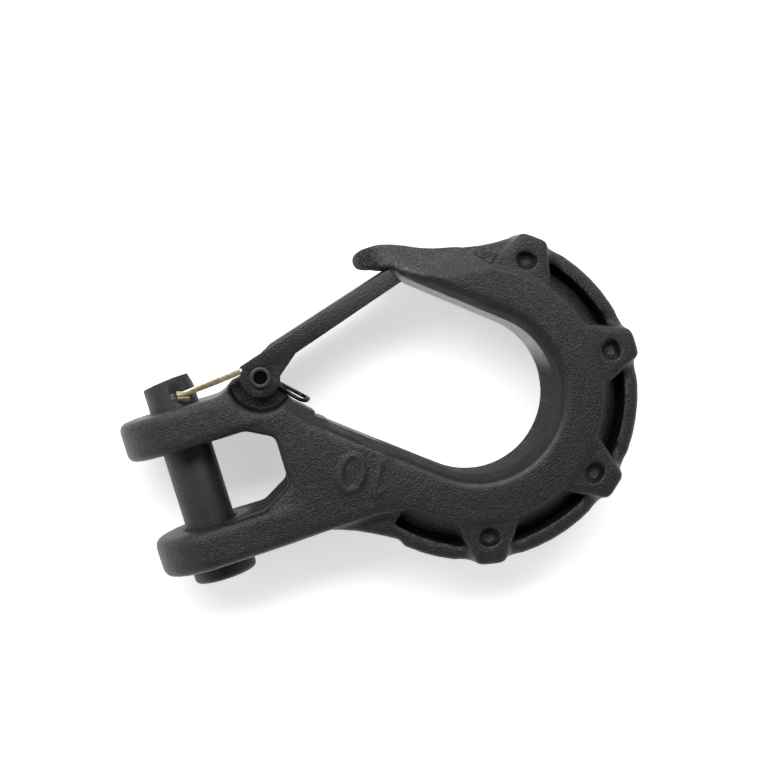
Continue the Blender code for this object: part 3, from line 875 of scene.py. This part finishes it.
class HOOK_OT_latch(Operator):
    """Build the latch, a channel folded from sheet with round ears"""
    bl_idname = "hook.latch"
    bl_label = "Latch"

    def execute(self, context):
        s = context.scene.hook_latch
        bm = bmesh.new()
        outline_prism(bm, latch_outline(s.ear), -s.half_width, s.half_width)
        start, end = WEB_LINE
        folds = [e for e in bm.edges if abs(e.verts[0].co.z - e.verts[1].co.z) < 0.001
                 and all(self.on_web(v.co) for v in e.verts)]
        round_over(bm, folds, s.fold, 6)
        slope = (end - start).normalized()
        inward = Vector((slope.y, -slope.x, 0)) * s.web
        low = start + inward + slope * ((WEB_LEFT - start.x - inward.x) / slope.x)
        high = end + inward + slope * 4
        inside = s.half_width - s.sheet
        hollow = bmesh.new()
        around = [(-9, -9), (45, -9), tuple(high), tuple(low), (WEB_LEFT, 13), (-9, 13)]
        outline_prism(hollow, around, -inside, inside)
        corners = [e for e in hollow.edges if abs(e.verts[0].co.z - e.verts[1].co.z) < 0.001
                   and all(abs((v.co - low).cross(slope).z) < 0.01 for v in e.verts)]
        round_over(hollow, corners, 0.5, 3)
        hole = turned([(0, 9), (s.rivet_hole, 9), (s.rivet_hole, -9), (0, -9)], 48)
        bm = cut(bm, [hollow, hole])
        round_over(bm, sharp_edges(bm, 50), 0.16, 2)
        coat = drawn_black("latch_black_coat", s.black, s.black_light, 0.00018, 0.38, 0.48, waves=0.00004)
        place = Matrix.Translation(PIVOT)
        piece = finish_piece("latch_finished", bm, coat, "latch", "latch", place)
        paint_ridges(piece.data, 1500.0, 1)
        return {"FINISHED"}

    def on_web(self, point):
        start, end = WEB_LINE
        flat = Vector((point.x, point.y, 0))
        return min((flat - start).length, (flat - end).length) < 0.01


class HOOK_OT_rivet(Operator):
    """Build the rivet, drilled and rolled over at both ends"""
    bl_idname = "hook.rivet"
    bl_label = "Rivet"

    def execute(self, context):
        s = context.scene.hook_latch
        inner, outer = s.half_width + 0.3, s.half_width + 1.0
        bore, shank, rim, core = 1.7, 2.2, 2.75, 3.0
        rolled = [(0.0, core), (bore - 0.3, core), (bore, core + 0.3), (bore, outer - 0.3),
                  (bore + 0.08, outer - 0.08), (bore + 0.25, outer), (rim - 0.35, outer - 0.02),
                  (rim - 0.1, outer - 0.14), (rim, outer - 0.35), (rim - 0.12, inner),
                  (shank + 0.1, inner), (shank, inner - 0.15)]
        profile = rolled + [(radius, -height) for radius, height in reversed(rolled)]
        bm = turned(profile, 64)
        steel = drawn_black("rivet_blackened", s.oiled, [value * 2 for value in s.oiled], 0.00003, 0.26, 0.42)
        piece = finish_piece("latch_rivet_finished", bm, steel, "hook", "latch_rivet",
                             Matrix.Translation(PIVOT))
        paint_ridges(piece.data, 9000.0, 0)
        return {"FINISHED"}


WEB_TURN = math.atan2(WEB_LINE[1].y - WEB_LINE[0].y, WEB_LINE[1].x - WEB_LINE[0].x)
SPRING_TIP = Vector((33.2, 12.1, 0)) - Vector((PIVOT.x, PIVOT.y, 0))    # end of the loop on the shank
SPRING_LEG = 12.0                       # length of the legs that push the latch's web
SPRING_PITCH = 1.02
SPRING_STEPS = 56                       # points along the turns of each coil
HOOK_LUG_HALF = 2.3                     # the coils stand on both sides of this lug


def spring_half(settings):
    """One side of the spring, from its leg on the latch's web to near the end of its loop."""
    coil = settings.coil
    start = WEB_TURN + math.pi / 2
    reach = math.sqrt(SPRING_TIP.length_squared - coil ** 2)
    finish = math.atan2(SPRING_TIP.y, SPRING_TIP.x) + math.atan2(coil, reach) - math.pi / 2
    wound = (start - finish) % math.tau + math.tau
    outer = HOOK_LUG_HALF + 0.3 + settings.wire + SPRING_PITCH * wound / math.tau
    leg = Vector((math.cos(start), math.sin(start), 0)) * coil
    leg += Vector((math.cos(WEB_TURN), math.sin(WEB_TURN), 0)) * SPRING_LEG
    half = [Vector((leg.x, leg.y, outer))]
    for i in range(SPRING_STEPS + 1):
        done = wound * i / SPRING_STEPS
        turn = start + done
        half.append(Vector((coil * math.cos(turn), coil * math.sin(turn),
                            outer - SPRING_PITCH * done / math.tau)))
    beside = half[-1].z
    coil_end = Vector((half[-1].x, half[-1].y, 0.0))
    along = (SPRING_TIP - coil_end).normalized()
    loop_start = SPRING_TIP - along * settings.loop
    for i in range(1, 9):
        at = coil_end.lerp(loop_start, i / 8)
        half.append(Vector((at.x, at.y, beside)))
    for degrees in range(78, 0, -13):
        turn = math.radians(degrees)
        at = SPRING_TIP - along * settings.loop * (1 - math.cos(turn))
        half.append(Vector((at.x, at.y, beside * math.sin(turn))))
    return half


def sprung_aside(index, count):
    """The near leg of the loop bows down a little, as wire bent by hand does."""
    share = min(max(index / count, 0.0), 1.0)
    return Vector((-0.35, -1.25, 0.0)) * math.sin(math.pi * share)


class HOOK_OT_spring(Operator):
    """Build the double torsion spring between the latch's cheeks"""
    bl_idname = "hook.spring"
    bl_label = "Spring"

    def execute(self, context):
        s = context.scene.hook_latch
        half = spring_half(s)
        coil_end = SPRING_STEPS + 1
        far = [Vector((p.x, p.y, -p.z)) for p in half]
        near = [p + sprung_aside(i - coil_end, len(half) - coil_end - 1) for i, p in enumerate(half)]
        bm = bmesh.new()
        sweep(bm, near + [SPRING_TIP] + far[::-1], circle_section(s.wire))
        round_over(bm, sharp_edges(bm, 60), 0.12, 2)
        steel = bare_metal("spring_oiled_steel", s.oiled, [value * 3 for value in s.oiled], 0.25, 0.40)
        piece = finish_piece("latch_spring_finished", bm, steel, None, "latch_spring",
                             Matrix.Translation(PIVOT))
        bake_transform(piece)
        return {"FINISHED"}


# ---- stage -------------------------------------------------------------------------------

class HookStageSettings(PropertyGroup):
    """Floor, lights and camera."""
    floor_size: FloatProperty(name="Floor size", description="Side of the square floor", default=6.0,
                              unit="LENGTH", subtype="DISTANCE")
    floor_colour: FloatVectorProperty(name="Floor colour", description="Colour of the floor",
                                      default=(0.93, 0.93, 0.93), subtype="COLOR", min=0.0, max=1.0)
    walls: FloatProperty(name="Walls", description="Brightness of the white room at floor height",
                         default=0.9)
    ceiling: FloatProperty(name="Ceiling", description="Brightness of the room straight overhead",
                           default=0.07)
    key_light: FloatProperty(name="Key light", description="Power of the soft light behind the hook",
                             default=7.2, subtype="POWER")
    table_glow: FloatProperty(name="Table glow", description="Brightness of the light table under the hook",
                              default=0.5)
    left_light: FloatProperty(name="Left light", description="Power of the soft light beside the clevis",
                              default=0.35, subtype="POWER")
    lens: FloatProperty(name="Lens", description="Focal length on a 36 mm sensor, in millimetres",
                        default=59.3)


def area_light(name, place, target, size, power):
    data = bpy.data.lights.new(name, "AREA")
    data.shape = "RECTANGLE"
    data.size, data.size_y = size
    data.energy = power
    lamp = link(name, data)
    lamp.location = place
    lamp.rotation_euler = (Vector(target) - Vector(place)).to_track_quat("-Z", "Y").to_euler()
    return lamp


class HOOK_OT_stage(Operator):
    """Build the floor, the soft lights and the camera above the hook"""
    bl_idname = "hook.stage"
    bl_label = "Stage"

    def execute(self, context):
        s = context.scene.hook_stage
        bm = bmesh.new()
        bmesh.ops.create_grid(bm, x_segments=1, y_segments=1, size=s.floor_size / 2)
        floor = link("floor", to_mesh("floor", bm))
        paper = Graph("white_paper")
        shade = [value * 0.99 for value in s.floor_colour]
        tone = paper.mix(paper.noise(30, 2.0), s.floor_colour, shade)
        paper.join(tone, paper.shader.inputs["Base Color"])
        paper.shader.inputs["Roughness"].default_value = 0.9
        paper.shader.inputs["Emission Color"].default_value = (1.0, 1.0, 1.0, 1.0)
        paper.shader.inputs["Emission Strength"].default_value = s.table_glow
        floor.data.materials.append(paper.material)
        context.scene.world = self.white_room(s)
        area_light("key_light", (0.04, 0.48, 0.66), (0, 0, 0.01), (1.1, 0.26), s.key_light)
        area_light("left_light", (-0.60, 0.10, 0.48), (0, 0, 0.01), (0.4, 0.4), s.left_light)
        context.scene.camera = self.overhead_camera(s)
        context.scene.view_settings.view_transform = "Standard"
        return {"FINISHED"}

    def white_room(self, s):
        """A white room that grows darker overhead."""
        world = bpy.data.worlds.new("soft_surroundings")
        world.use_nodes = True
        nodes, links = world.node_tree.nodes, world.node_tree.links
        split = nodes.new("ShaderNodeSeparateXYZ")
        links.new(nodes.new("ShaderNodeTexCoord").outputs["Generated"], split.inputs["Vector"])
        height = nodes.new("ShaderNodeMapRange")
        height.inputs["To Min"].default_value = s.walls
        height.inputs["To Max"].default_value = s.ceiling
        links.new(split.outputs["Z"], height.inputs["Value"])
        links.new(height.outputs["Result"], nodes["Background"].inputs["Strength"])
        nodes["Background"].inputs["Color"].default_value = (1.0, 1.0, 1.0, 1.0)
        return world

    def overhead_camera(self, s):
        """The camera looks almost straight down on the hook."""
        lens = bpy.data.cameras.new("camera")
        lens.lens = s.lens
        lens.sensor_width = 36.0
        lens.clip_start = 0.01
        camera = link("camera", lens)
        right = VIEW_RIGHT.normalized()
        back = VIEW_RIGHT.cross(VIEW_UP).normalized()
        up = back.cross(right).normalized()
        axes = Matrix((right, up, back)).transposed().to_4x4()
        camera.matrix_world = Matrix.Translation(PIN + EYE * MM) @ axes
        return camera


# ---- add-on ------------------------------------------------------------------------------

OPERATORS = (HOOK_OT_stage, HOOK_OT_forged_body, HOOK_OT_clevis_pin, HOOK_OT_split_pin,
             HOOK_OT_latch, HOOK_OT_rivet, HOOK_OT_spring)
SETTINGS = {
    "hook_forging": HookForgingSettings,
    "hook_pin": HookPinSettings,
    "hook_latch": HookLatchSettings,
    "hook_stage": HookStageSettings,
}


class HOOK_PT_panel(Panel):
    """Buttons and sizes for each piece of the hook"""
    bl_idname = "HOOK_PT_panel"
    bl_label = "Clevis slip hook"
    bl_space_type = "VIEW_3D"
    bl_region_type = "UI"
    bl_category = "Hook"

    def draw(self, context):
        for operator in OPERATORS:
            self.layout.operator(operator.bl_idname)
        for name, group in SETTINGS.items():
            box = self.layout.box()
            box.label(text=group.__doc__)
            for key in group.__annotations__:
                box.prop(getattr(context.scene, name), key)


def register():
    for group in SETTINGS.values():
        bpy.utils.register_class(group)
    for operator in OPERATORS:
        bpy.utils.register_class(operator)
    bpy.utils.register_class(HOOK_PT_panel)
    for name, group in SETTINGS.items():
        setattr(bpy.types.Scene, name, PointerProperty(type=group))


def unregister():
    for name in SETTINGS:
        delattr(bpy.types.Scene, name)
    bpy.utils.unregister_class(HOOK_PT_panel)
    for operator in reversed(OPERATORS):
        bpy.utils.unregister_class(operator)
    for group in SETTINGS.values():
        bpy.utils.unregister_class(group)


def main():
    register()
    bpy.ops.hook.stage()
    bpy.ops.hook.forged_body()
    bpy.ops.hook.clevis_pin()
    bpy.ops.hook.split_pin()
    bpy.ops.hook.latch()
    bpy.ops.hook.rivet()
    bpy.ops.hook.spring()


if __name__ == "__main__":
    main()
